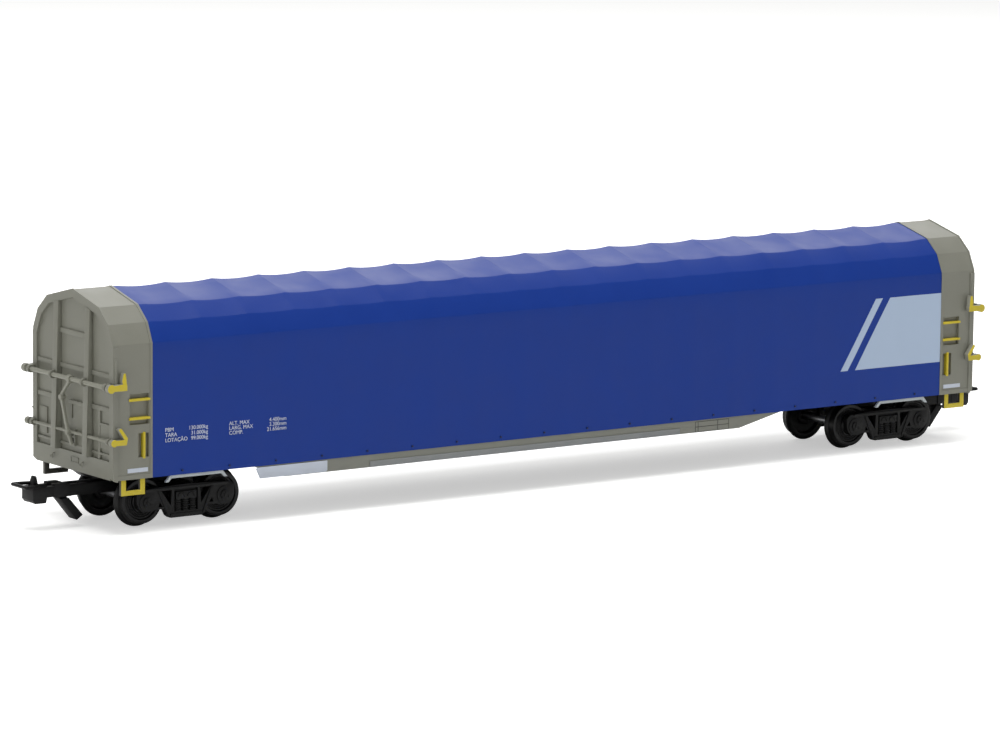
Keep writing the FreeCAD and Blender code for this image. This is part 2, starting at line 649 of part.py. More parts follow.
def coupler_arm():
    """Arm from the bogie transom to the coupler head, slotted for the hook."""
    w = ARM_W / 2
    root = CENTRE_PLATE_R - 0.2
    neck = HOOK_PIVOT - 7.8
    arm = prism_z(
        [(root, -w - 0.6), (root, w + 0.6), (neck, w), (HEAD_START, w), (HEAD_START, -w),
         (neck, -w)], ARM_Z0, ARM_Z1)
    swell = prism_y([(HOOK_PIVOT - 1.4, ARM_Z0), (HOOK_PIVOT - 1.4, ARM_Z1),
                     (HOOK_PIVOT - 0.2, ARM_Z1 + 0.5), (HEAD_START, ARM_Z1 + 0.5),
                     (HEAD_START, ARM_Z0)], -w - 0.3, w + 0.3)
    head = prism_y([(HEAD_START, ARM_Z0 + 0.2), (HEAD_START, ARM_Z1), (HEAD_END, ARM_Z1),
                    (HEAD_END, ARM_Z0 - 0.3), (HEAD_END - 0.6, ARM_Z0 - 1.0),
                    (HEAD_START + 2.2, ARM_Z0 - 1.0), (HEAD_START + 1.9, ARM_Z0 + 0.2)],
                   -HEAD_W / 2, HEAD_W / 2)
    body = fuse([arm, swell, head])
    slot = HOOK_T / 2 + SIDE_PLAY
    body = body.cut(box(HOOK_PIVOT - 4.6, HEAD_END - 0.55, -slot, slot, 0, ARM_Z1 + 1))
    pin = rod((HOOK_PIVOT, -w - 0.3, HOOK_Z), (HOOK_PIVOT, w + 0.3, HOOK_Z), HOOK_PIN_R)
    body = body.fuse(pin)
    seat = rod((0, 0, 0), (0, 0, CENTRE_PLATE_Z + 1), CENTRE_PLATE_R)
    return body.cut(seat).removeSplitter()


def coupler_loop():
    """Flat wire loop standing out of the head."""
    z = ARM_Z1 + LOOP_WIRE_R
    x0 = HEAD_END - 3.4
    x1 = HEAD_END + LOOP_REACH
    y0 = HEAD_W / 2 - LOOP_WIRE_R
    y1 = LOOP_W / 2
    path = [(x0, -y0, z), (HEAD_END, -y1, z), (x1, -y1, z), (x1, y1, z), (HEAD_END, y1, z),
            (x0, y0, z)]
    loop = bent_rod(path, LOOP_WIRE_R)
    return loop.cut(box(x0 - 1, HEAD_END, -9, 9, 0, ARM_Z1))


def coupler_hook():
    """Hook lever on its cross pin: nose in the head, drop tongue below."""
    pivot = HOOK_PIVOT
    nose = HEAD_END - 1.3
    z = HOOK_Z
    half = HOOK_T / 2
    lever_bar = prism_y([(pivot - 1.3, z - 0.7), (pivot - 0.4, z - 1.1), (nose - 1.6, z - 0.6),
                         (nose - 1.6, z + 0.7), (pivot - 1.0, z + 0.9)], -half, half)
    horn = prism_y([(nose - 1.7, z - 0.6), (nose, z), (nose + 0.3, z + 2.4),
                    (nose - 0.1, z + 3.4), (nose - 0.5, z + 3.4), (nose - 0.9, z + 1.6),
                    (nose - 1.7, z + 0.7)], -half, half)
    tongue = prism_y([(pivot - 1.3, z + 0.6), (pivot + 0.6, z - 0.2), (pivot + 1.0, z - 1.3),
                      (pivot + 0.9, z - 2.0), (pivot - 3.2, z - 7.0), (pivot - 4.7, z - 6.0),
                      (pivot - 1.2, z - 1.9), (pivot - 1.5, z - 0.6)], -half, half)
    paddle = prism_y([(pivot - 1.2, z - 1.9), (pivot + 0.9, z - 2.0), (pivot - 3.2, z - 7.0),
                      (pivot - 4.7, z - 6.0)], -1.7, 1.7)
    hook = fuse([lever_bar, horn, tongue, paddle])
    return hook.cut(rod((pivot, -3, z), (pivot, 3, z), HOOK_PIN_R + RUN_FIT))


# ---- wheelsets, drawn about the axle ------------------------------------
def wheel():
    back = WHEEL_BACK
    front = WHEEL_BACK + TYRE_W
    rim_in = TREAD_R - 0.95
    hub_r = AXLE_R + 0.9
    web = front - 0.45
    rings = []
    for k in (1, 2, 3):
        r = rim_in - 0.2 - 0.42 * k
        rings += [(r + 0.12, web), (r + 0.06, web + 0.14), (r - 0.06, web + 0.14),
                  (r - 0.12, web)]
    profile = [
        (AXLE_R, back + 0.2), (hub_r, back + 0.2), (hub_r + 0.3, back + 0.9),
        (rim_in, back + 0.9),
        (rim_in + 0.2, back), (FLANGE_R - 0.25, back), (FLANGE_R, back + 0.3),
        (FLANGE_R - 0.2, back + FLANGE_T - 0.15), (TREAD_R + 0.05, back + FLANGE_T + 0.15),
        (TREAD_R - 0.05, front - 0.1), (TREAD_R - 0.15, front), (rim_in, front),
        (rim_in - 0.2, web)]
    profile += rings + [(hub_r + 0.3, web), (hub_r, front), (AXLE_R, front)]
    return turned_y(profile)


def axle():
    front = WHEEL_BACK + TYRE_W
    profile = [(0, -JOURNAL_END), (JOURNAL_R - 0.25, -JOURNAL_END), (JOURNAL_R, -JOURNAL_END + 0.35),
               (JOURNAL_R, -front - 0.5), (AXLE_R, -front - 0.1), (AXLE_R, front + 0.1),
               (JOURNAL_R, front + 0.5), (JOURNAL_R, JOURNAL_END - 0.35),
               (JOURNAL_R - 0.25, JOURNAL_END), (0, JOURNAL_END)]
    return turned_y(profile)


def placed(shape, side, dx=0.0, dz=0.0):
    out = shape.copy()
    out.translate(Vector(BOGIE_X + dx, 0, dz))
    return at_end(out, side)


# ---- write every piece --------------------------------------------------
save("tarpaulin_hood", tarpaulin_hood())

housing = end_housing()
posts = end_posts()
rails = end_rails()
shafts = lock_shafts()
brackets = shaft_brackets()
levers = lock_levers()
link = lock_link()
bolster = body_bolster()
pin = kingpin()
draft = draft_box()
frame = bogie_frame()
arm = coupler_arm()
loop = coupler_loop()
hook = coupler_hook()
one_wheel = wheel()
one_axle = axle()

for end, side in ENDS:
    save("end_housing_" + end, at_end(housing, side))
    save("end_posts_" + end, [at_end(s, side) for s in posts])
    save("end_rails_" + end, [at_end(s, side) for s in rails])
    save("lock_shafts_" + end, [at_end(s, side) for s in shafts])
    save("shaft_brackets_" + end, [at_end(s, side) for s in brackets])
    save("lock_levers_" + end, [at_end(s, side) for s in levers])
    save("lock_link_" + end, at_end(link, side))
    save("body_bolster_" + end, at_end(bolster, side))
    save("kingpin_" + end, at_end(pin, side))
    save("draft_box_" + end, at_end(draft, side))
    save("bogie_frame_" + end, placed(frame, side))
    save("coupler_arm_" + end, placed(arm, side))
    save("coupler_loop_" + end, placed(loop, side))
    save("coupler_hook_" + end, placed(hook, side))
    for n, dx in (("1", AXLE_DX), ("2", -AXLE_DX)):
        wheels = [placed(s, side, dx, AXLE_Z) for s in (one_wheel, mirror_y(one_wheel))]
        save("wheels_" + end + n, wheels)
        save("axle_" + end + n, placed(one_axle, side, dx, AXLE_Z))

rungs = ladder_rungs()
save("ladder_rungs", rungs + [mirror_x(s) for s in rungs])
step = step_iron()
save("step_irons", [step, mirror_x(step), mirror_y(step), mirror_x(mirror_y(step))])
save("floor_pan", floor_pan())
save("centre_sill", centre_sill())
save("cross_bearers", cross_bearers())
sill = side_sill()
save("side_sill_right", sill)
save("side_sill_left", turn_half(sill))
plate = number_plate()
save("number_plates", [plate, turn_half(plate)])
strip = sill_strip()
save("sill_strips", [strip, turn_half(strip)])
cover = cover_rail()
save("cover_rails", [cover, mirror_x(cover), mirror_y(cover), mirror_x(mirror_y(cover))])
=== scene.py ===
import json
import math

import bmesh
import bpy
from mathutils import Matrix, Vector

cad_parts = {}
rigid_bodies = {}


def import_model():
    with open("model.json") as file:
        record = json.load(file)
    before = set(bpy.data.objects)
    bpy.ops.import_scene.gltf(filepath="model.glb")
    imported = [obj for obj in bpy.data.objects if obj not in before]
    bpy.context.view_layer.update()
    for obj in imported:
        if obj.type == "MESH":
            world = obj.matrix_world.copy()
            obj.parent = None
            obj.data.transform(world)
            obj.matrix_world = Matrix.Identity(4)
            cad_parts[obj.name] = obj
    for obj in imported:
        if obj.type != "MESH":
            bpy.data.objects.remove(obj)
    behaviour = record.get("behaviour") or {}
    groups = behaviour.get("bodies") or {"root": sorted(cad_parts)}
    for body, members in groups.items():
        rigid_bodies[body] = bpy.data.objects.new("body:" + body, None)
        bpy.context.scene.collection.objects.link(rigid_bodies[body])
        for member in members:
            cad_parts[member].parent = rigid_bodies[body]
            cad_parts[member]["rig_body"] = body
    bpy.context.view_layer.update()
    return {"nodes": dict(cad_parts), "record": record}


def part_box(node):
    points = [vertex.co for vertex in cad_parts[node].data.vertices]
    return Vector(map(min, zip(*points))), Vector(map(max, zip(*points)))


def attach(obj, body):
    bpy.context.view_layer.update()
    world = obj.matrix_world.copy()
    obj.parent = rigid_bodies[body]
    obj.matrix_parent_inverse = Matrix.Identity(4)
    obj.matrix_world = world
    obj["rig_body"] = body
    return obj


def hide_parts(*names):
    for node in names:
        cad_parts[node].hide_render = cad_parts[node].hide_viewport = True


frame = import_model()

bl_info = {
    "name": "Model Tarpaulin Wagon",
    "version": (1, 0, 0),
    "blender": (4, 5, 0),
    "location": "3D View > Sidebar > Wagon",
    "description": "Builds the looks of a model railway tarpaulin wagon",
    "category": "Object",
}

MM = 0.001
ENDS = (("a", -1), ("b", 1))
SIDES = (("right", -1), ("left", 1))

# Lettering: size, thickness and lift off the hood in metres, then the millimetres along
# the wagon and above the wheel flanges at which each label starts and each value ends.
LETTER_SIZE, PRINT_DEPTH, PRINT_LIFT = 0.0012, 0.00002, 0.00001
LABEL_X, VALUE_X = -107.0, -96.07
LABEL_X2, VALUE_X2 = -90.65, -75.75
WEIGHT_LINES = ((22.15, "PBM", "130.000kg"), (21.0, "TARA", "31.000kg"),
                (19.85, "LOTA\u00c7\u00c3O", "99.000kg"))
SIZE_LINES = ((22.2, "ALT. MAX", "4.400mm"), (21.15, "LARG. MAX", "3.300mm"),
              (20.1, "COMP.", "21.656mm"))

# Moulded edges: what is welded, what counts as flat, where an edge is a crease, and how
# far a painted face has to look outwards.
WELD, FLAT_DEGREES, CREASE_DEGREES, OUTWARDS = 2e-6, 0.6, 34.0, 0.35

# Hood: rounding of its breaks, the spacing of its points and the small hooks below it.
BREAK_RADIUS, BREAK_STEPS, POINT_SPACING, STEPS_PER_BAY = 0.0004, 2, 0.0022, 10
HOOK_RADIUS, HOOK_LENGTH, HOOK_RISE, HOOK_SINK = 0.00022, 0.00028, 0.0009, 0.00004

# Bogie details, in metres.
SPRING_PITCH, SPRING_Y, SPRING_FOOT = 0.00185, 0.0114, 0.0034
SPRING_RADIUS, SPRING_HEIGHT, SPRING_TURNS = 0.00078, 0.0025, 5.0
CAP_FACE = 0.01265
BOLT_CIRCLE, BOLTS_PER_CAP = 0.00085, 3
BOLT_SIZE, BUTTON_SIZE = (0.0002, 0.0003), (0.00045, 0.00036)
ARCH_OFFSET, ARCH_FACE, ARCH_FOOT = 0.00125, 0.01222, 0.0064
ARCH_HALF_WIDTH, ARCH_HEIGHT, ARCH_STEPS, ARCH_WIRE = 0.00085, 0.0009, 8, 0.00016

# The pale band on the hood, in metres: where it and its slanted stripe start, its foot
# and top, and how far it leans for each metre up.
BAND_START, STRIPE_START, STRIPE_END = 0.0715, 0.0672, 0.0693
BAND_FOOT, BAND_TOP, BAND_LEAN = 0.0205, 0.0372, 0.62

# Relief on the end walls, as Y and Z in millimetres: a frame's outline, where two small
# hooks hang, a catch's parts with how far each stands out, and two guide bars.
END_FRAME = ((-2.6, 0.65, 15.35, 15.5), (-2.6, 0.65, 14.24, 14.39),
             (-2.6, -2.45, 14.24, 15.5), (0.5, 0.65, 14.24, 15.5))
END_HOOKS = ((8.3, 14.2), (-4.4, 14.0))
CATCH = ((-1.6, 0.7, 18.0, 18.7, 1.2), (-1.5, -1.0, 18.7, 21.6, 1.0),
         (0.1, 0.6, 18.7, 21.0, 1.0), (-1.0, 0.1, 19.6, 20.1, 0.8))
GUIDE_Y, GUIDE_FOOT, GUIDE_TOP, GUIDE_IN = 17.35, 33.2, 39.2, 0.6
GUIDE_RADIUS, FRAME_OUT, HOOK_WIRE = 0.32, 0.25, 0.14
FACE_IN, PANEL_IN = 0.1, 0.7

# Plates and the empty data table on the sill, in metres.
LABEL_PLATE = {"x0": 0.1114, "x1": 0.1165, "y": 0.0171, "z0": 0.0139, "z1": 0.0148}
LABEL_PLATE_T, INK_T = 0.00014, 0.00003
TABLE_X0, TABLE_X1, TABLE_Z0, TABLE_Z1 = 0.0372, 0.0469, 0.0096, 0.0120
TABLE_LINE, TABLE_FACE = 0.00014, 0.0169
TABLE_FIRST_COLUMN, TABLE_LAST_COLUMN = 0.0008, 0.0032

# Camera: what it looks at, its direction in degrees and its distance.
CAMERA_TARGET = (-0.006625, 0.0, 0.024492)
CAMERA_AZIMUTH, CAMERA_ELEVATION, CAMERA_ROLL = -34.773, 8.781, 0.552
CAMERA_DISTANCE = 1.2285

SLOT_OF = {s["node"]: s["material_slot"] for s in frame["record"]["subparts"]}
BODY_OF = {n: o["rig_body"] for n, o in frame["nodes"].items()}


# ---- settings a user may change ------------------------------------------
class WagonSizes(bpy.types.PropertyGroup):
    bay_count: bpy.props.IntProperty(
        name="Bays", description="Spans of cloth between the bows", default=18)
    bay_pitch: bpy.props.FloatProperty(
        name="Bay pitch", description="Distance between two bows", default=0.01207,
        unit="LENGTH", precision=5)
    sag: bpy.props.FloatProperty(
        name="Sag", description="How far the hood sinks between two bows", default=0.00042,
        unit="LENGTH", precision=5)
    side_sag: bpy.props.FloatProperty(
        name="Side sag", description="How far the sides sink between two bows", default=0.00009,
        unit="LENGTH", precision=5)
    wall: bpy.props.FloatProperty(
        name="Hood wall", description="Thickness of the hood", default=0.0013,
        unit="LENGTH", precision=5)
    shoulder: bpy.props.FloatVectorProperty(
        name="Shoulder", description="Y and Z where the side meets the roof", size=2,
        default=(0.0171, 0.0420), unit="LENGTH", precision=5)
    haunch: bpy.props.FloatVectorProperty(
        name="Haunch", description="Y and Z of the lower roof break", size=2,
        default=(0.01507, 0.04634), unit="LENGTH", precision=5)
    crown: bpy.props.FloatVectorProperty(
        name="Crown", description="Y and Z of the upper roof break", size=2,
        default=(0.01108, 0.04968), unit="LENGTH", precision=5)
    ridge: bpy.props.FloatProperty(
        name="Ridge", description="Height of the roof ridge", default=0.0524,
        unit="LENGTH", precision=5)
    edge_radius: bpy.props.FloatProperty(
        name="Edge radius", description="Rounding of moulded edges", default=0.00012,
        unit="LENGTH", precision=5)
    spring_wire: bpy.props.FloatProperty(
        name="Spring wire", description="Radius of the bogie spring wire", default=0.00022,
        unit="LENGTH", precision=5)


class WagonColours(bpy.types.PropertyGroup):
    hood: bpy.props.StringProperty(
        name="Hood", description="Colour of the hood", default="#08358F")
    band: bpy.props.StringProperty(
        name="Band", description="Colour of the plain band on the hood", default="#B4C6DE")
    housing: bpy.props.StringProperty(
        name="Housings", description="Colour of the end housings", default="#848479")
    yellow: bpy.props.StringProperty(
        name="Fittings", description="Colour of levers, rungs and steps", default="#CDB92C")
    running_gear: bpy.props.StringProperty(
        name="Running gear", description="Colour of the bogies", default="#0A0A0B")
    sill: bpy.props.StringProperty(
        name="Side sills", description="Colour of the side sills", default="#84857B")
    strip: bpy.props.StringProperty(
        name="Strips", description="Colour of sill strips and cover rails", default="#888B8B")
    print_white: bpy.props.StringProperty(
        name="Lettering", description="Colour of the printed lettering", default="#D5DBEA")


class StageSettings(bpy.types.PropertyGroup):
    floor_colour: bpy.props.StringProperty(
        name="Floor", description="Colour of the floor", default="#F2F2F0")
    key_power: bpy.props.FloatProperty(
        name="Key light", description="Power of the main lamp", default=8.5, unit="POWER")
    fill_power: bpy.props.FloatProperty(
        name="Fill light", description="Power of the side lamp", default=0.9, unit="POWER")
    back_power: bpy.props.FloatProperty(
        name="Back light", description="Power of the lamp behind", default=4.0, unit="POWER")
    room_light: bpy.props.FloatProperty(
        name="Room light", description="Strength of the even light", default=0.37)
    lens: bpy.props.FloatProperty(
        name="Lens", description="Focal length in millimetres", default=191.8)


# ---- small tools ---------------------------------------------------------
def linear(hex_colour):
    """An sRGB hex colour as linear red, green, blue and alpha."""
    channels = [int(hex_colour[i:i + 2], 16) / 255 for i in (1, 3, 5)]
    out = [c / 12.92 if c <= 0.04045 else ((c + 0.055) / 1.055) ** 2.4 for c in channels]
    return (*out, 1.0)


def add_node(tree, kind, values=None, links=None, **settings):
    """Adds a node, sets its properties and sockets, and links sockets into it."""
    node = tree.nodes.new(kind)
    for key, value in settings.items():
        setattr(node, key, value)
    for key, value in (values or {}).items():
        node.inputs[key].default_value = value
    for key, source in (links or {}).items():
        tree.links.new(source, node.inputs[key])
    return node


def math_node(tree, operation, a, b=None, clamp=False):
    """The result of one operation on numbers or other nodes' results."""
    node = add_node(tree, "ShaderNodeMath", operation=operation, use_clamp=clamp)
    for socket, value in ((0, a), (1, b)):
        if isinstance(value, (int, float)):
            node.inputs[socket].default_value = value
        elif value is not None:
            tree.links.new(value, node.inputs[socket])
    return node.outputs[0]


def blank_material(name):
    """A new material and its empty node tree."""
    material = bpy.data.materials.new(name)
    material.use_nodes = True
    material.node_tree.nodes.clear()
    return material, material.node_tree


def close_material(tree, shader):
    add_node(tree, "ShaderNodeOutputMaterial", links={"Surface": shader.outputs[0]})


def surface_grain(tree, grain_mm, depth_mm, rough_low, rough_high, blotch_mm=6.0):
    """Fine bump, an uneven roughness and a slow blotch, all from the object's own place."""
    place = add_node(tree, "ShaderNodeTexCoord").outputs["Object"]
    fine = add_node(tree, "ShaderNodeTexNoise", {"Scale": 1 / (grain_mm * MM), "Detail": 3.0},
                    {"Vector": place})
    bump = add_node(tree, "ShaderNodeBump", {"Strength": 0.35, "Distance": depth_mm * MM},
                    {"Height": fine.outputs["Fac"]})
    blotch = add_node(tree, "ShaderNodeTexNoise",
                      {"Scale": 1 / (blotch_mm * MM), "Detail": 4.0}, {"Vector": place})
    rough = add_node(tree, "ShaderNodeMapRange",
                     {"From Min": 0.3, "From Max": 0.7, "To Min": rough_low,
                      "To Max": rough_high}, {"Value": blotch.outputs["Fac"]})
    return place, bump.outputs["Normal"], rough.outputs["Result"], blotch.outputs["Fac"]


def tinted(tree, colour_a, colour_b, factor):
    """Two colours mixed by a pattern."""
    mix = add_node(tree, "ShaderNodeMix", links={"Factor": factor}, data_type="RGBA")
    mix.inputs[6].default_value = linear(colour_a)
    mix.inputs[7].default_value = linear(colour_b)
    return mix.outputs[2]


def shade(hex_colour, factor):
    """The same colour a little darker or lighter."""
    channels = [int(hex_colour[i:i + 2], 16) for i in (1, 3, 5)]
    return "#" + "".join(f"{max(0, min(255, round(c * factor))):02X}" for c in channels)


# ---- materials -----------------------------------------------------------
def moulded_polystyrene(name, colour, rough=(0.38, 0.5), grain_mm=0.25, sheen=0.4):
    """Injection-moulded polystyrene: even colour, a soft satin sheen, a very fine skin."""
    material, tree = blank_material(name)
    _, normal, roughness, blotch = surface_grain(tree, grain_mm, 0.004, *rough)
    colour_out = tinted(tree, shade(colour, 0.96), shade(colour, 1.04), blotch)
    shader = add_node(tree, "ShaderNodeBsdfPrincipled",
                      {"IOR": 1.59, "Specular IOR Level": sheen},
                      {"Base Color": colour_out, "Normal": normal, "Roughness": roughness})
    close_material(tree, shader)
    return material


def printed_hood_polystyrene(colours):
    """Blue moulded polystyrene with a plain pale band printed near one end of each side."""
    material, tree = blank_material("printed_moulded_polystyrene_blue")
    place, normal, roughness, blotch = surface_grain(tree, 0.3, 0.004, 0.34, 0.46, 9.0)
    axes = add_node(tree, "ShaderNodeSeparateXYZ", links={"Vector": place})

    def calc(operation, a, b=None):
        return math_node(tree, operation, a, b)

    side = calc("MULTIPLY", calc("SIGN", axes.outputs["Y"]), -1.0)
    along = calc("MULTIPLY", axes.outputs["X"], side)
    lean = calc("MULTIPLY", axes.outputs["Z"], BAND_LEAN)
    start = calc("SUBTRACT", along, lean)
    panel = calc("GREATER_THAN", start, BAND_START)
    stripe = calc("MULTIPLY", calc("GREATER_THAN", start, STRIPE_START),
                  calc("LESS_THAN", start, STRIPE_END))
    marks = calc("MAXIMUM", panel, stripe)
    above = calc("GREATER_THAN", axes.outputs["Z"], BAND_FOOT)
    below = calc("LESS_THAN", axes.outputs["Z"], BAND_TOP)
    marks = calc("MULTIPLY", marks, calc("MULTIPLY", above, below))
    base = tinted(tree, shade(colours.hood, 0.97), shade(colours.hood, 1.03), blotch)
    mixed = add_node(tree, "ShaderNodeMix", links={"Factor": marks}, data_type="RGBA")
    tree.links.new(base, mixed.inputs[6])
    mixed.inputs[7].default_value = linear(colours.band)
    shader = add_node(tree, "ShaderNodeBsdfPrincipled",
                      {"IOR": 1.59, "Specular IOR Level": 0.22},
                      {"Base Color": mixed.outputs[2], "Normal": normal,
                       "Roughness": roughness})
    close_material(tree, shader)
    return material


def bare_steel(name, colour, rough=(0.28, 0.4)):
    """Steel: metal with a very fine, slightly uneven skin."""
    material, tree = blank_material(name)
    _, normal, roughness, blotch = surface_grain(tree, 0.12, 0.003, *rough)
    colour_out = tinted(tree, shade(colour, 0.92), shade(colour, 1.05), blotch)
    shader = add_node(tree, "ShaderNodeBsdfPrincipled", {"Metallic": 1.0},
                      {"Base Color": colour_out, "Normal": normal, "Roughness": roughness})
    close_material(tree, shader)
    return material


def printed_ink(name, colour):
    """Pad-printed ink: flat, even and a touch duller than the plastic under it."""
    material, tree = blank_material(name)
    _, normal, roughness, blotch = surface_grain(tree, 0.2, 0.002, 0.5, 0.6)
    colour_out = tinted(tree, shade(colour, 0.95), shade(colour, 1.03), blotch)
    shader = add_node(tree, "ShaderNodeBsdfPrincipled", {"IOR": 1.5},
                      {"Base Color": colour_out, "Normal": normal, "Roughness": roughness})
    close_material(tree, shader)
    return material


MATERIALS = {}


def make_materials():
    colours = bpy.context.scene.wagon_colours
    gear = colours.running_gear
    MATERIALS.update({
        "tarpaulin_blue": printed_hood_polystyrene(colours),
        "housing_grey": moulded_polystyrene("moulded_polystyrene_grey", colours.housing),
        "shaft_grey": moulded_polystyrene("moulded_acetal_grey", shade(colours.housing, 1.1)),
        "safety_yellow": moulded_polystyrene("painted_polystyrene_yellow", colours.yellow),
        "underframe_black": moulded_polystyrene("moulded_polystyrene_black", gear, sheen=0.2),
        "sill_grey": moulded_polystyrene("moulded_polystyrene_olive_grey", colours.sill),
        "strip_grey": moulded_polystyrene("moulded_polystyrene_pale_grey", colours.strip),
        "rail_grey": moulded_polystyrene("moulded_polystyrene_light_grey", "#B3BABD"),
        "plate_white": printed_ink("printed_plate_pale", "#C9D0DC"),
        "bogie_black": moulded_polystyrene("moulded_abs_black", gear, (0.42, 0.58),
                                           grain_mm=0.18, sheen=0.26),
        "loop_black": bare_steel("blackened_steel_wire", "#2B2B2C", (0.35, 0.5)),
        "wheel_black": moulded_polystyrene("moulded_acetal_black", shade(gear, 1.15),
                                           (0.3, 0.42), grain_mm=0.2, sheen=0.28),
        "axle_steel": bare_steel("turned_steel", "#A9AAAC"),
        "lettering": printed_ink("printed_ink_white", colours.print_white),
        "outline": printed_ink("printed_ink_dark_grey", "#45463F"),
        "bare_step": moulded_polystyrene("moulded_polystyrene_dark_grey", "#4E4C46"),
        "hook": moulded_polystyrene("moulded_polystyrene_dark_blue", shade(colours.hood, 0.45)),
    })


# ---- mesh tools ----------------------------------------------------------
def plain_mesh(obj, name):
    """The evaluated object as a plain mesh in a fresh object at the origin."""
    depsgraph = bpy.context.evaluated_depsgraph_get()
    mesh = bpy.data.meshes.new_from_object(obj.evaluated_get(depsgraph))
    mesh.name = name
    out = bpy.data.objects.new(name, mesh)
    bpy.context.scene.collection.objects.link(out)
    bpy.data.objects.remove(obj)
    return out


def object_from(bm, name, material=None):
    """A plain object in the scene from a bmesh, which is freed."""
    mesh = bpy.data.meshes.new(name)
    bm.to_mesh(mesh)
    bm.free()
    obj = bpy.data.objects.new(name, mesh)
    bpy.context.scene.collection.objects.link(obj)
    if material is not None:
        mesh.materials.append(material)
    return obj


def smooth(obj, degrees):
    """Smooth faces, with the edges sharper than the angle kept sharp."""
    obj.data.shade_smooth()
    obj.data.set_sharp_from_angle(angle=math.radians(degrees))


def moulding(node, radius, crease=CREASE_DEGREES):
    """A copy of a CAD piece with its moulded edges rounded, standing in for it."""
    bm = bmesh.new()
    bm.from_mesh(frame["nodes"][node].data)
    bmesh.ops.remove_doubles(bm, verts=bm.verts, dist=WELD)
    bmesh.ops.dissolve_limit(bm, angle_limit=math.radians(FLAT_DEGREES), verts=bm.verts,
                             edges=bm.edges)
    rough = object_from(bm, node + "_rough", MATERIALS[SLOT_OF[node]])
    if radius > 0:
        bevel = rough.modifiers.new("edges", "BEVEL")
        bevel.width = radius
        bevel.segments = 2
        bevel.limit_method = "ANGLE"
        bevel.angle_limit = math.radians(crease)
        bevel.use_clamp_overlap = True
    piece = plain_mesh(rough, node + "_moulding")
    smooth(piece, crease + 1.0)
    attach(piece, BODY_OF[node])
    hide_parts(node)
    return piece


def bare_inside(piece, material):
    """Leaves every face that doesn't look outwards unpainted."""
    piece.data.materials.append(material)
    for face in piece.data.polygons:
        outwards = face.normal.y * (1 if face.center.y > 0 else -1)
        if outwards < OUTWARDS:
            face.material_index = 1


def socket_id(group, name):
    """The identifier of a node group's input."""
    for item in group.interface.items_tree:
        if item.item_type == "SOCKET" and item.in_out == "INPUT" and item.name == name:
            return item.identifier
    raise RuntimeError("no input named " + name)


def new_group(name, inputs):
    """An empty geometry group with named number inputs."""
    group = bpy.data.node_groups.new(name, "GeometryNodeTree")
    group.interface.new_socket("Geometry", in_out="INPUT", socket_type="NodeSocketGeometry")
    for label, kind in inputs:
        group.interface.new_socket(label, in_out="INPUT", socket_type=kind)
    group.interface.new_socket("Geometry", in_out="OUTPUT", socket_type="NodeSocketGeometry")
    return group, add_node(group, "NodeGroupInput"), add_node(group, "NodeGroupOutput")


def run_group(obj, group, values):
    """Puts the group on the object with its inputs set, before it is first evaluated."""
    modifier = obj.modifiers.new("rule", "NODES")
    modifier.node_group = group
    for label, value in values.items():
        modifier[socket_id(group, label)] = value


def finish_group(group, geometry, output):
    """Ends a group in real geometry that has the group's material."""
    realized = add_node(group, "GeometryNodeRealizeInstances", links={"Geometry": geometry})
    coloured = add_node(group, "GeometryNodeSetMaterial",
                        links={"Geometry": realized.outputs[0]})
    material_input = [s for s in group.nodes if s.bl_idname == "NodeGroupInput"][0]
    group.links.new(material_input.outputs["Material"], coloured.inputs["Material"])
    group.links.new(coloured.outputs[0], output.inputs["Geometry"])


# ---- hood ----------------------------------------------------------------
def rounded_outline(points, radius, steps):
    """A line through the points with its inner corners rounded."""
    out = [Vector(points[0])]
    for before, corner, after in zip(points, points[1:], points[2:]):
        before, corner, after = Vector(before), Vector(corner), Vector(after)
        a = corner + (before - corner).normalized() * radius
        b = corner + (after - corner).normalized() * radius
        for k in range(steps + 1):
            t = k / steps
            out.append(a * (1 - t) ** 2 + corner * 2 * t * (1 - t) + b * t ** 2)
    return out + [Vector(points[-1])]


def hood_outline(sizes, low):
    """The hood's section as Y and Z, from one lower edge over the ridge to the other."""
    half = [(sizes.shoulder[0], low), tuple(sizes.shoulder), tuple(sizes.haunch),
            tuple(sizes.crown), (0.0, sizes.ridge)]
    points = half + [(-y, z) for y, z in reversed(half[:-1])]
    rounded = rounded_outline(points, BREAK_RADIUS, BREAK_STEPS)
    filled = [rounded[0]]
    for a, b in zip(rounded, rounded[1:]):
        parts = max(1, round((b - a).length / POINT_SPACING))
        filled += [a.lerp(b, (k + 1) / parts) for k in range(parts)]
    return filled


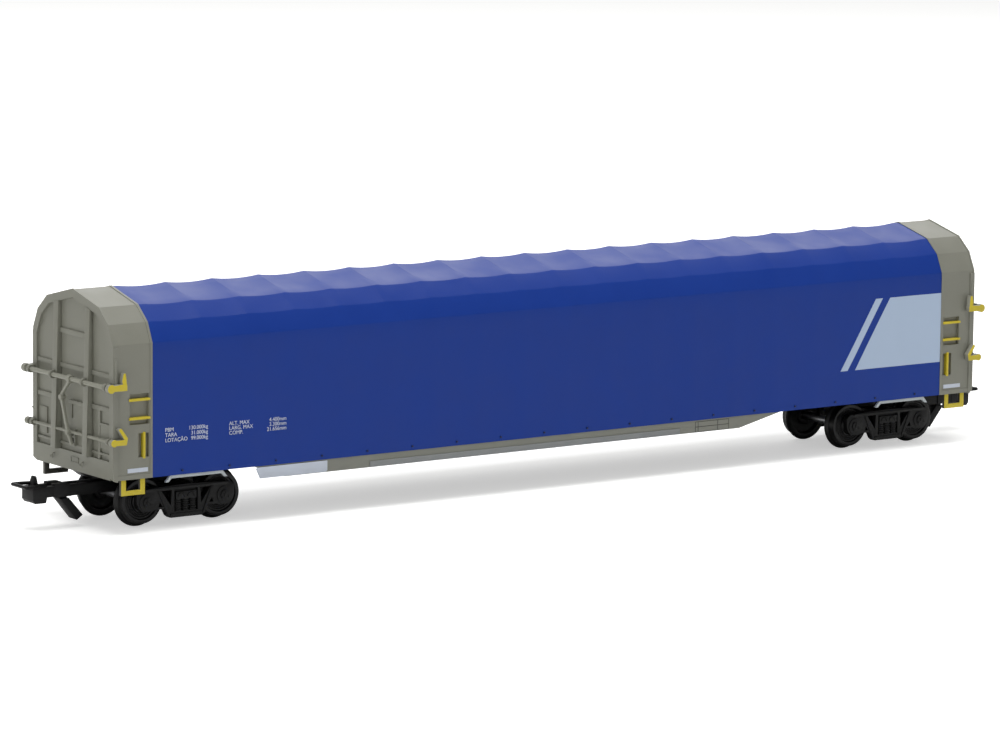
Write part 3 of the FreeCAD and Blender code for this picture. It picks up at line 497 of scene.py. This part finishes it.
def hood_rule():
    """Sinks the cloth between the bows by a parabola, most at the ridge."""
    group, given, out = new_group("hood_rule", [
        ("Pitch", "NodeSocketFloat"), ("Run", "NodeSocketFloat"), ("Sag", "NodeSocketFloat"),
        ("Side sag", "NodeSocketFloat"), ("Shoulder", "NodeSocketFloat"),
        ("Ridge", "NodeSocketFloat"), ("Material", "NodeSocketMaterial")])
    place = add_node(group, "GeometryNodeInputPosition")
    axes = add_node(group, "ShaderNodeSeparateXYZ", links={"Vector": place.outputs[0]})

    def calc(operation, a, b=None, clamp=False):
        return math_node(group, operation, a, b, clamp)

    x, y, z = (axes.outputs[k] for k in "XYZ")
    inside = calc("LESS_THAN", calc("ABSOLUTE", x), given.outputs["Run"])
    t = calc("FRACT", calc("DIVIDE", calc("ADD", x, given.outputs["Run"]),
                           given.outputs["Pitch"]))
    arch = calc("MULTIPLY", calc("MULTIPLY", calc("MULTIPLY", t, calc("SUBTRACT", 1.0, t)), 4.0),
                inside)
    rise = calc("SUBTRACT", given.outputs["Ridge"], given.outputs["Shoulder"])
    height = calc("DIVIDE", calc("SUBTRACT", z, given.outputs["Shoulder"]), rise, clamp=True)
    down = calc("MULTIPLY", calc("MULTIPLY", arch, height),
                calc("MULTIPLY", given.outputs["Sag"], -1.0))
    low = calc("SUBTRACT", 1.0, height)
    inwards = calc("MULTIPLY", calc("MULTIPLY", arch, low),
                   calc("MULTIPLY", given.outputs["Side sag"], -1.0))
    across = calc("MULTIPLY", inwards, calc("SIGN", y))
    shift = add_node(group, "ShaderNodeCombineXYZ", links={"Y": across, "Z": down})
    moved = add_node(group, "GeometryNodeSetPosition",
                     links={"Geometry": given.outputs["Geometry"], "Offset": shift.outputs[0]})
    finish_group(group, moved.outputs[0], out)
    return group


def build_hood():
    """The hood as one shell whose cloth hangs a little between the bows."""
    sizes = bpy.context.scene.wagon_sizes
    low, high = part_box("tarpaulin_hood")
    outline = hood_outline(sizes, low.z)
    run = sizes.bay_pitch * sizes.bay_count / 2
    inner = [-run + sizes.bay_pitch * k / STEPS_PER_BAY
             for k in range(sizes.bay_count * STEPS_PER_BAY + 1)]
    stations = [low.x, *inner, high.x]
    bm = bmesh.new()
    rows = [[bm.verts.new((x, p.x, p.y)) for p in outline] for x in stations]
    for a, b in zip(rows, rows[1:]):
        for k in range(len(outline) - 1):
            bm.faces.new((a[k], a[k + 1], b[k + 1], b[k]))
    bmesh.ops.recalc_face_normals(bm, faces=bm.faces)
    hood = object_from(bm, "hood_rough")
    if hood.data.polygons[len(outline) // 2].normal.z < 0:
        hood.data.flip_normals()
    run_group(hood, hood_rule(), {
        "Pitch": sizes.bay_pitch, "Run": run, "Sag": sizes.sag, "Side sag": sizes.side_sag,
        "Shoulder": sizes.shoulder[1], "Ridge": sizes.ridge,
        "Material": MATERIALS["tarpaulin_blue"]})
    wall = hood.modifiers.new("wall", "SOLIDIFY")
    wall.thickness = sizes.wall
    wall.offset = -1.0
    hood = plain_mesh(hood, "tarpaulin_hood_moulding")
    smooth(hood, 11.0)
    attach(hood, BODY_OF["tarpaulin_hood"])
    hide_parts("tarpaulin_hood")


# ---- repeated small pieces ----------------------------------------------
def studs(name, places, direction, radius, height, material, body, slot):
    """Studs at the places, all standing out in one direction."""
    bm = bmesh.new()
    for place in places:
        bm.verts.new(place)
    seats = object_from(bm, name + "_seats")
    group, given, out = new_group(name + "_rule", [
        ("Radius", "NodeSocketFloat"), ("Height", "NodeSocketFloat"),
        ("Material", "NodeSocketMaterial")])
    stud = add_node(group, "GeometryNodeMeshCylinder", {"Vertices": 14},
                    {"Radius": given.outputs["Radius"], "Depth": given.outputs["Height"]})
    turned = add_node(group, "FunctionNodeAlignRotationToVector",
                      {"Vector": Vector(direction)}, axis="Z")
    placed = add_node(group, "GeometryNodeInstanceOnPoints",
                      links={"Points": given.outputs["Geometry"],
                             "Instance": stud.outputs["Mesh"],
                             "Rotation": turned.outputs[0]})
    finish_group(group, placed.outputs[0], out)
    run_group(seats, group, {"Radius": radius, "Height": height,
                             "Material": MATERIALS[material]})
    piece = plain_mesh(seats, name)
    smooth(piece, 40.0)
    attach(piece, body)
    return piece


def build_hood_hooks():
    """One small hook under each span of cloth."""
    sizes = bpy.context.scene.wagon_sizes
    low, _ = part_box("tarpaulin_hood")
    run = sizes.bay_pitch * sizes.bay_count / 2
    for name, side in SIDES:
        y = side * (sizes.shoulder[0] + HOOK_SINK)
        places = [(-run + sizes.bay_pitch * (k + 0.5), y, low.z + HOOK_RISE)
                  for k in range(sizes.bay_count)]
        studs("hood_hooks_" + name, places, (0, side, 0), HOOK_RADIUS, HOOK_LENGTH, "hook",
              "wagon_body", "tarpaulin_blue")


def spring_rule():
    """A coil spring at every point."""
    group, given, out = new_group("spring_rule", [
        ("Coil radius", "NodeSocketFloat"), ("Height", "NodeSocketFloat"),
        ("Wire", "NodeSocketFloat"), ("Turns", "NodeSocketFloat"),
        ("Material", "NodeSocketMaterial")])
    helix = add_node(group, "GeometryNodeCurveSpiral", {"Resolution": 14},
                     {"Rotations": given.outputs["Turns"],
                      "Start Radius": given.outputs["Coil radius"],
                      "End Radius": given.outputs["Coil radius"],
                      "Height": given.outputs["Height"]})
    ring = add_node(group, "GeometryNodeCurvePrimitiveCircle", {"Resolution": 7},
                    {"Radius": given.outputs["Wire"]})
    wire = add_node(group, "GeometryNodeCurveToMesh", {"Fill Caps": True},
                    {"Curve": helix.outputs["Curve"],
                     "Profile Curve": ring.outputs["Curve"]})
    placed = add_node(group, "GeometryNodeInstanceOnPoints",
                      links={"Points": given.outputs["Geometry"],
                             "Instance": wire.outputs["Mesh"]})
    finish_group(group, placed.outputs[0], out)
    return group


def build_springs():
    """Three coil springs in each side of a bogie."""
    sizes = bpy.context.scene.wagon_sizes
    group = spring_rule()
    for end in "ab":
        low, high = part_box("bogie_frame_" + end)
        middle = (low.x + high.x) / 2
        bm = bmesh.new()
        for across in (-1, 1):
            for k in (-1, 0, 1):
                bm.verts.new((middle + k * SPRING_PITCH, across * SPRING_Y, SPRING_FOOT))
        seats = object_from(bm, "spring_seats")
        run_group(seats, group, {
            "Coil radius": SPRING_RADIUS, "Height": SPRING_HEIGHT, "Wire": sizes.spring_wire,
            "Turns": SPRING_TURNS, "Material": MATERIALS["bogie_black"]})
        piece = plain_mesh(seats, "bogie_springs_" + end)
        smooth(piece, 60.0)
        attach(piece, "bogie_" + end)


def build_bearing_bolts():
    """Three bolts and a button on each of a bogie's bearing caps."""
    for end in "ab":
        for across, label in ((-1, "_right"), (1, "_left")):
            bolts, caps = [], []
            for n in "12":
                low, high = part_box("axle_" + end + n)
                x, z = (low.x + high.x) / 2, (low.z + high.z) / 2
                caps.append((x, across * CAP_FACE, z))
                for k in range(BOLTS_PER_CAP):
                    a = math.radians(90 + 360 * k / BOLTS_PER_CAP)
                    bolts.append((x + math.cos(a) * BOLT_CIRCLE, across * CAP_FACE,
                                  z + math.sin(a) * BOLT_CIRCLE))
            studs("bearing_bolts_" + end + label, bolts, (0, across, 0), *BOLT_SIZE,
                  "bogie_black", "bogie_" + end, "bogie_black")
            studs("bearing_buttons_" + end + label, caps, (0, across, 0), *BUTTON_SIZE,
                  "bogie_black", "bogie_" + end, "bogie_black")


def build_bolster_arches():
    """Two small arches moulded on each end of a bolster, above the springs."""
    for end in "ab":
        low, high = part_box("bogie_frame_" + end)
        middle = (low.x + high.x) / 2
        bm = bmesh.new()
        for across in (-1, 1):
            for k in (-1, 1):
                arch = []
                for step in range(ARCH_STEPS + 1):
                    a = math.pi * step / ARCH_STEPS
                    arch.append((middle + k * ARCH_OFFSET + math.cos(a) * ARCH_HALF_WIDTH,
                                 ARCH_FOOT + math.sin(a) * ARCH_HEIGHT))
                tube(bm, [(x, across * ARCH_FACE, z) for x, z in arch], ARCH_WIRE)
        piece = object_from(bm, "bolster_arches_" + end, MATERIALS["bogie_black"])
        smooth(piece, 50.0)
        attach(piece, "bogie_" + end)


# ---- lettering and small prints -----------------------------------------
def text_mesh(name, words, align, origin, side):
    """Words as a thin print on one side of the wagon, read from outside."""
    curve = bpy.data.curves.new(name, "FONT")
    curve.body = words
    curve.size = LETTER_SIZE
    curve.align_x = align
    curve.extrude = PRINT_DEPTH
    raw = bpy.data.objects.new(name + "_raw", curve)
    bpy.context.scene.collection.objects.link(raw)
    piece = plain_mesh(raw, name)
    stand = Matrix.Rotation(math.radians(90), 4, "X")
    turn = Matrix.Rotation(0 if side < 0 else math.pi, 4, "Z")
    piece.data.transform(Matrix.Translation(Vector(origin)) @ turn @ stand)
    piece.data.materials.clear()
    piece.data.materials.append(MATERIALS["lettering"])
    return piece


def join(name, objects):
    """Several plain meshes as one piece."""
    bm = bmesh.new()
    material = objects[0].data.materials[0]
    for obj in objects:
        bm.from_mesh(obj.data)
        bpy.data.objects.remove(obj)
    return object_from(bm, name, material)


def build_lettering():
    """The weights and sizes, in two blocks of labels and values."""
    sizes = bpy.context.scene.wagon_sizes
    columns = ((WEIGHT_LINES, 1, LABEL_X, "LEFT"), (WEIGHT_LINES, 2, VALUE_X, "RIGHT"),
               (SIZE_LINES, 1, LABEL_X2, "LEFT"), (SIZE_LINES, 2, VALUE_X2, "RIGHT"))
    for label, side in SIDES:
        y = side * (sizes.shoulder[0] + PRINT_LIFT)
        made = []
        for lines, part, x, align in columns:
            for line in lines:
                place = (-side * x * MM, y, line[0] * MM)
                made.append(text_mesh(f"line_{len(made)}", line[part], align, place, side))
        piece = join("weight_lettering_" + label, made)
        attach(piece, "wagon_body")


def block(bm, x0, x1, y0, y1, z0, z1):
    """A small box between two corners."""
    centre = Matrix.Translation(((x0 + x1) / 2, (y0 + y1) / 2, (z0 + z1) / 2))
    scale = Matrix.Diagonal((abs(x1 - x0), abs(y1 - y0), abs(z1 - z0), 1))
    bmesh.ops.create_cube(bm, size=1.0, matrix=centre @ scale)


def plate(bm, x0, x1, y, z0, z1, thick):
    """A thin plate lying on a side of the wagon."""
    block(bm, x0, x1, y, y + math.copysign(thick, y), z0, z1)


def tube(bm, points, radius, sides=8):
    """A thin round rod through the points, closed at both ends."""
    rings = []
    last = None
    points = [Vector(p) for p in points]
    for k, point in enumerate(points):
        ahead = points[min(k + 1, len(points) - 1)] - points[max(k - 1, 0)]
        across = ahead.orthogonal().normalized()
        if last is not None:
            across = (last - ahead * (last.dot(ahead) / ahead.length_squared)).normalized()
        last = across
        up = ahead.normalized().cross(across)
        rings.append([bm.verts.new(point + (across * math.cos(a) + up * math.sin(a)) * radius)
                      for a in (2 * math.pi * n / sides for n in range(sides))])
    for a, b in zip(rings, rings[1:]):
        for n in range(sides):
            bm.faces.new((a[n], a[(n + 1) % sides], b[(n + 1) % sides], b[n]))
    bm.faces.new(list(reversed(rings[0])))
    bm.faces.new(rings[-1])
    bmesh.ops.recalc_face_normals(bm, faces=bm.faces)


def build_end_details():
    """Small moulded relief on each end: guide bars, a frame, hooks and a catch."""
    for end, side in ENDS:
        low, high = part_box("end_housing_" + end)
        wall = (high.x if side > 0 else -low.x) / MM
        face = wall - FACE_IN
        panel = wall - PANEL_IN

        def place(x, y, z):
            return (side * x * MM, -side * y * MM, z * MM)

        def stand_out(bm, start, out, y0, y1, z0, z1):
            near, far = place(start, y0, z0), place(start + out, y1, z1)
            block(bm, near[0], far[0], near[1], far[1], near[2], far[2])

        bm = bmesh.new()
        for bar in END_FRAME:
            stand_out(bm, face, FRAME_OUT, *bar)
        for y, z in END_HOOKS:
            wire = [(0.1, y - 0.35, z + 0.9), (0.6, y - 0.35, z + 0.9), (0.6, y - 0.35, z),
                    (0.6, y + 0.35, z), (0.6, y + 0.35, z + 0.5)]
            tube(bm, [place(face + x, yy, zz) for x, yy, zz in wire], HOOK_WIRE * MM)
        for *spot, out in CATCH:
            stand_out(bm, panel, out, *spot)
        for y in (-GUIDE_Y, GUIDE_Y):
            heights = (GUIDE_FOOT, (GUIDE_FOOT + GUIDE_TOP) / 2, GUIDE_TOP)
            tube(bm, [place(face - GUIDE_IN, y, z) for z in heights], GUIDE_RADIUS * MM, 10)
        piece = object_from(bm, "end_relief_" + end, MATERIALS["housing_grey"])
        smooth(piece, 40.0)
        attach(piece, "wagon_body")


def build_label_plates():
    """Four small plates, left blank."""
    at = LABEL_PLATE
    bm = bmesh.new()
    for end in (-1, 1):
        for side in (-1, 1):
            plate(bm, end * at["x0"], end * at["x1"], side * at["y"], at["z0"], at["z1"],
                  LABEL_PLATE_T)
    piece = object_from(bm, "blank_label_plates", MATERIALS["plate_white"])
    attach(piece, "wagon_body")


def build_data_panel():
    """Thin printed outline of an empty data table on each side sill."""
    half = TABLE_LINE / 2
    for label, side in SIDES:
        bm = bmesh.new()
        for z in (TABLE_Z0, (TABLE_Z0 + TABLE_Z1) / 2, TABLE_Z1):
            plate(bm, -side * TABLE_X0, -side * TABLE_X1, side * TABLE_FACE, z - half,
                  z + half, INK_T)
        for x in (TABLE_X0, TABLE_X0 + TABLE_FIRST_COLUMN, TABLE_X1 - TABLE_LAST_COLUMN,
                  TABLE_X1):
            plate(bm, -side * (x - half), -side * (x + half), side * TABLE_FACE, TABLE_Z0,
                  TABLE_Z1, INK_T)
        piece = object_from(bm, "data_table_outline_" + label, MATERIALS["outline"])
        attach(piece, "wagon_body")


# ---- CAD pieces with rounded edges ---------------------------------------
def build_mouldings(prefixes, radius_factor=1.0, crease=CREASE_DEGREES):
    """Rounds every CAD piece whose name starts with one of the prefixes."""
    radius = bpy.context.scene.wagon_sizes.edge_radius * radius_factor
    found = [n for n in sorted(frame["nodes"]) if n.startswith(tuple(prefixes))]
    if not found:
        raise RuntimeError("no CAD piece starts with any of " + ", ".join(prefixes))
    return [moulding(node, radius, crease) for node in found]


# ---- stage ---------------------------------------------------------------
def add_area_light(name, location, target, size, power, colour="#FFFFFF"):
    light = bpy.data.lights.new(name, "AREA")
    light.shape = "RECTANGLE"
    light.size, light.size_y = size
    light.energy = power
    light.color = linear(colour)[:3]
    obj = bpy.data.objects.new(name, light)
    bpy.context.scene.collection.objects.link(obj)
    obj.location = location
    aim = Vector(target) - Vector(location)
    obj.rotation_euler = aim.to_track_quat("-Z", "Y").to_euler()
    return obj


def build_floor(settings):
    """A plain pale floor that the camera sees a little brighter than the light makes it."""
    bm = bmesh.new()
    bmesh.ops.create_grid(bm, x_segments=1, y_segments=1, size=6.0)
    material, tree = blank_material("matt_paper_floor")
    _, _, roughness, blotch = surface_grain(tree, 2.0, 0.01, 0.8, 0.9, 200.0)
    colour_out = tinted(tree, shade(settings.floor_colour, 0.995), settings.floor_colour, blotch)
    shader = add_node(tree, "ShaderNodeBsdfPrincipled", {"Specular IOR Level": 0.1},
                      {"Base Color": colour_out, "Roughness": roughness})
    path = add_node(tree, "ShaderNodeLightPath")
    glow = add_node(tree, "ShaderNodeEmission", {"Color": (1, 1, 1, 1)})
    lift = add_node(tree, "ShaderNodeMath", {1: 0.5}, {0: path.outputs["Is Camera Ray"]},
                    operation="MULTIPLY")
    tree.links.new(lift.outputs[0], glow.inputs["Strength"])
    total = add_node(tree, "ShaderNodeAddShader")
    tree.links.new(shader.outputs[0], total.inputs[0])
    tree.links.new(glow.outputs[0], total.inputs[1])
    close_material(tree, total)
    floor = object_from(bm, "floor", material)


def build_room_light(settings):
    """Even light from all round, behind a white background."""
    world = bpy.data.worlds.new("studio")
    bpy.context.scene.world = world
    world.use_nodes = True
    wtree = world.node_tree
    wtree.nodes.clear()
    path = add_node(wtree, "ShaderNodeLightPath")
    level = add_node(wtree, "ShaderNodeMapRange",
                     {"To Min": settings.room_light, "To Max": 1.0},
                     {"Value": path.outputs["Is Camera Ray"]})
    sky = add_node(wtree, "ShaderNodeBackground", {"Color": (1, 1, 1, 1)},
                   {"Strength": level.outputs["Result"]})
    add_node(wtree, "ShaderNodeOutputWorld", links={"Surface": sky.outputs[0]})


def build_lamps(settings):
    add_area_light("key", (-0.1, -0.15, 1.1), (0, 0, 0.02), (0.9, 0.5), settings.key_power)
    add_area_light("back", (0.5, 0.75, 0.7), (0, 0, 0.05), (1.2, 0.7), settings.back_power)
    add_area_light("fill", (-0.95, -0.25, 0.35), (-0.05, 0, 0.02), (0.5, 0.4),
                   settings.fill_power)


def build_camera(settings):
    camera = bpy.data.cameras.new("camera")
    camera.sensor_width = 36.0
    camera.lens = settings.lens
    camera.clip_start, camera.clip_end = 0.05, 20.0
    camera_object = bpy.data.objects.new("camera", camera)
    bpy.context.scene.collection.objects.link(camera_object)
    azimuth, elevation, roll = (
        math.radians(v) for v in (CAMERA_AZIMUTH, CAMERA_ELEVATION, CAMERA_ROLL))
    back = Vector((math.sin(azimuth) * math.cos(elevation),
                   -math.cos(azimuth) * math.cos(elevation), math.sin(elevation)))
    aim = (-back).to_track_quat("-Z", "Y").to_matrix().to_4x4()
    place = Vector(CAMERA_TARGET) + back * CAMERA_DISTANCE
    camera_object.matrix_world = (Matrix.Translation(place) @ aim
                                  @ Matrix.Rotation(roll, 4, "Z"))
    bpy.context.scene.camera = camera_object


def build_stage():
    settings = bpy.context.scene.wagon_stage
    build_floor(settings)
    build_room_light(settings)
    build_lamps(settings)
    build_camera(settings)
    bpy.context.scene.view_settings.view_transform = "Standard"


# ---- operators -----------------------------------------------------------
class WAGON_OT_materials(bpy.types.Operator):
    """Make the wagon's materials"""
    bl_idname = "wagon.materials"
    bl_label = "Materials"

    def execute(self, context):
        make_materials()
        return {"FINISHED"}


class WAGON_OT_hood(bpy.types.Operator):
    """Build the ribbed hood"""
    bl_idname = "wagon.hood"
    bl_label = "Hood"

    def execute(self, context):
        build_hood()
        return {"FINISHED"}


class WAGON_OT_hood_hooks(bpy.types.Operator):
    """Build the small hooks along the hood's lower edge"""
    bl_idname = "wagon.hood_hooks"
    bl_label = "Hood hooks"

    def execute(self, context):
        build_hood_hooks()
        return {"FINISHED"}


class WAGON_OT_lettering(bpy.types.Operator):
    """Print the weights and sizes on the hood"""
    bl_idname = "wagon.lettering"
    bl_label = "Lettering"

    def execute(self, context):
        build_lettering()
        return {"FINISHED"}


class WAGON_OT_end_housings(bpy.types.Operator):
    """Build the end housings with their posts and rails"""
    bl_idname = "wagon.end_housings"
    bl_label = "End housings"

    def execute(self, context):
        build_mouldings(["end_housing_"], radius_factor=0.4, crease=14.0)
        build_mouldings(["end_posts_", "end_rails_"], radius_factor=0.5)
        build_end_details()
        return {"FINISHED"}


class WAGON_OT_lock_gear(bpy.types.Operator):
    """Build the shafts, brackets, links and levers on the ends"""
    bl_idname = "wagon.lock_gear"
    bl_label = "Locking gear"

    def execute(self, context):
        build_mouldings(["lock_shafts_", "lock_link_", "shaft_brackets_"], radius_factor=0.6)
        for piece in build_mouldings(["lock_levers_"], radius_factor=0.8):
            bare_inside(piece, MATERIALS["shaft_grey"])
        return {"FINISHED"}


class WAGON_OT_steps(bpy.types.Operator):
    """Build the rungs and steps"""
    bl_idname = "wagon.steps"
    bl_label = "Rungs and steps"

    def execute(self, context):
        build_mouldings(["ladder_rungs"], radius_factor=0.6)
        for piece in build_mouldings(["step_irons"], radius_factor=0.6):
            bare_inside(piece, MATERIALS["bare_step"])
        return {"FINISHED"}


class WAGON_OT_plates(bpy.types.Operator):
    """Build the blank plates and the data table's outline"""
    bl_idname = "wagon.plates"
    bl_label = "Plates"

    def execute(self, context):
        build_label_plates()
        build_data_panel()
        return {"FINISHED"}


class WAGON_OT_underframe(bpy.types.Operator):
    """Build the floor, sills, bolsters and rails under the body"""
    bl_idname = "wagon.underframe"
    bl_label = "Underframe"

    def execute(self, context):
        build_mouldings(["floor_pan", "centre_sill", "cross_bearers", "side_sill_",
                         "number_plates", "sill_strips", "body_bolster_", "kingpin_",
                         "draft_box_"], radius_factor=0.7)
        for piece in build_mouldings(["cover_rails"], radius_factor=0.5):
            piece.data.materials[0] = MATERIALS["rail_grey"]
        return {"FINISHED"}


class WAGON_OT_bogies(bpy.types.Operator):
    """Build the bogie frames with springs and bearing bolts"""
    bl_idname = "wagon.bogies"
    bl_label = "Bogies"

    def execute(self, context):
        build_mouldings(["bogie_frame_"], radius_factor=0.6)
        build_springs()
        build_bearing_bolts()
        build_bolster_arches()
        return {"FINISHED"}


class WAGON_OT_wheelsets(bpy.types.Operator):
    """Build the wheels and axles"""
    bl_idname = "wagon.wheelsets"
    bl_label = "Wheelsets"

    def execute(self, context):
        build_mouldings(["wheels_", "axle_"], radius_factor=0.5)
        return {"FINISHED"}


class WAGON_OT_couplers(bpy.types.Operator):
    """Build the coupler arms, hooks and loops"""
    bl_idname = "wagon.couplers"
    bl_label = "Couplers"

    def execute(self, context):
        build_mouldings(["coupler_arm_", "coupler_hook_"])
        build_mouldings(["coupler_loop_"], radius_factor=0.0)
        return {"FINISHED"}


class WAGON_OT_stage(bpy.types.Operator):
    """Set up the floor, lamps and camera"""
    bl_idname = "wagon.stage"
    bl_label = "Stage"

    def execute(self, context):
        build_stage()
        return {"FINISHED"}


class WAGON_PT_panel(bpy.types.Panel):
    """Lists the wagon's pieces, sizes and colours"""
    bl_label = "Tarpaulin wagon"
    bl_idname = "WAGON_PT_panel"
    bl_space_type = "VIEW_3D"
    bl_region_type = "UI"
    bl_category = "Wagon"

    def draw(self, context):
        layout = self.layout
        for group in ("wagon_sizes", "wagon_colours", "wagon_stage"):
            settings = getattr(context.scene, group)
            box = layout.box()
            for key in settings.__annotations__:
                box.prop(settings, key)
        for operator in OPERATORS:
            layout.operator(operator.bl_idname)


OPERATORS = (
    WAGON_OT_materials, WAGON_OT_hood, WAGON_OT_hood_hooks, WAGON_OT_lettering,
    WAGON_OT_end_housings, WAGON_OT_lock_gear, WAGON_OT_steps, WAGON_OT_plates,
    WAGON_OT_underframe, WAGON_OT_bogies, WAGON_OT_wheelsets, WAGON_OT_couplers,
    WAGON_OT_stage,
)
GROUPS = (
    ("wagon_sizes", WagonSizes), ("wagon_colours", WagonColours), ("wagon_stage", StageSettings),
)


def register():
    for name, group in GROUPS:
        bpy.utils.register_class(group)
        setattr(bpy.types.Scene, name, bpy.props.PointerProperty(type=group))
    for cls in (*OPERATORS, WAGON_PT_panel):
        bpy.utils.register_class(cls)


def unregister():
    for cls in reversed((*OPERATORS, WAGON_PT_panel)):
        bpy.utils.unregister_class(cls)
    for name, group in reversed(GROUPS):
        delattr(bpy.types.Scene, name)
        bpy.utils.unregister_class(group)


def main():
    register()
    for operator in OPERATORS:
        getattr(bpy.ops.wagon, operator.bl_idname.split(".")[1])()


if __name__ == "__main__":
    main()
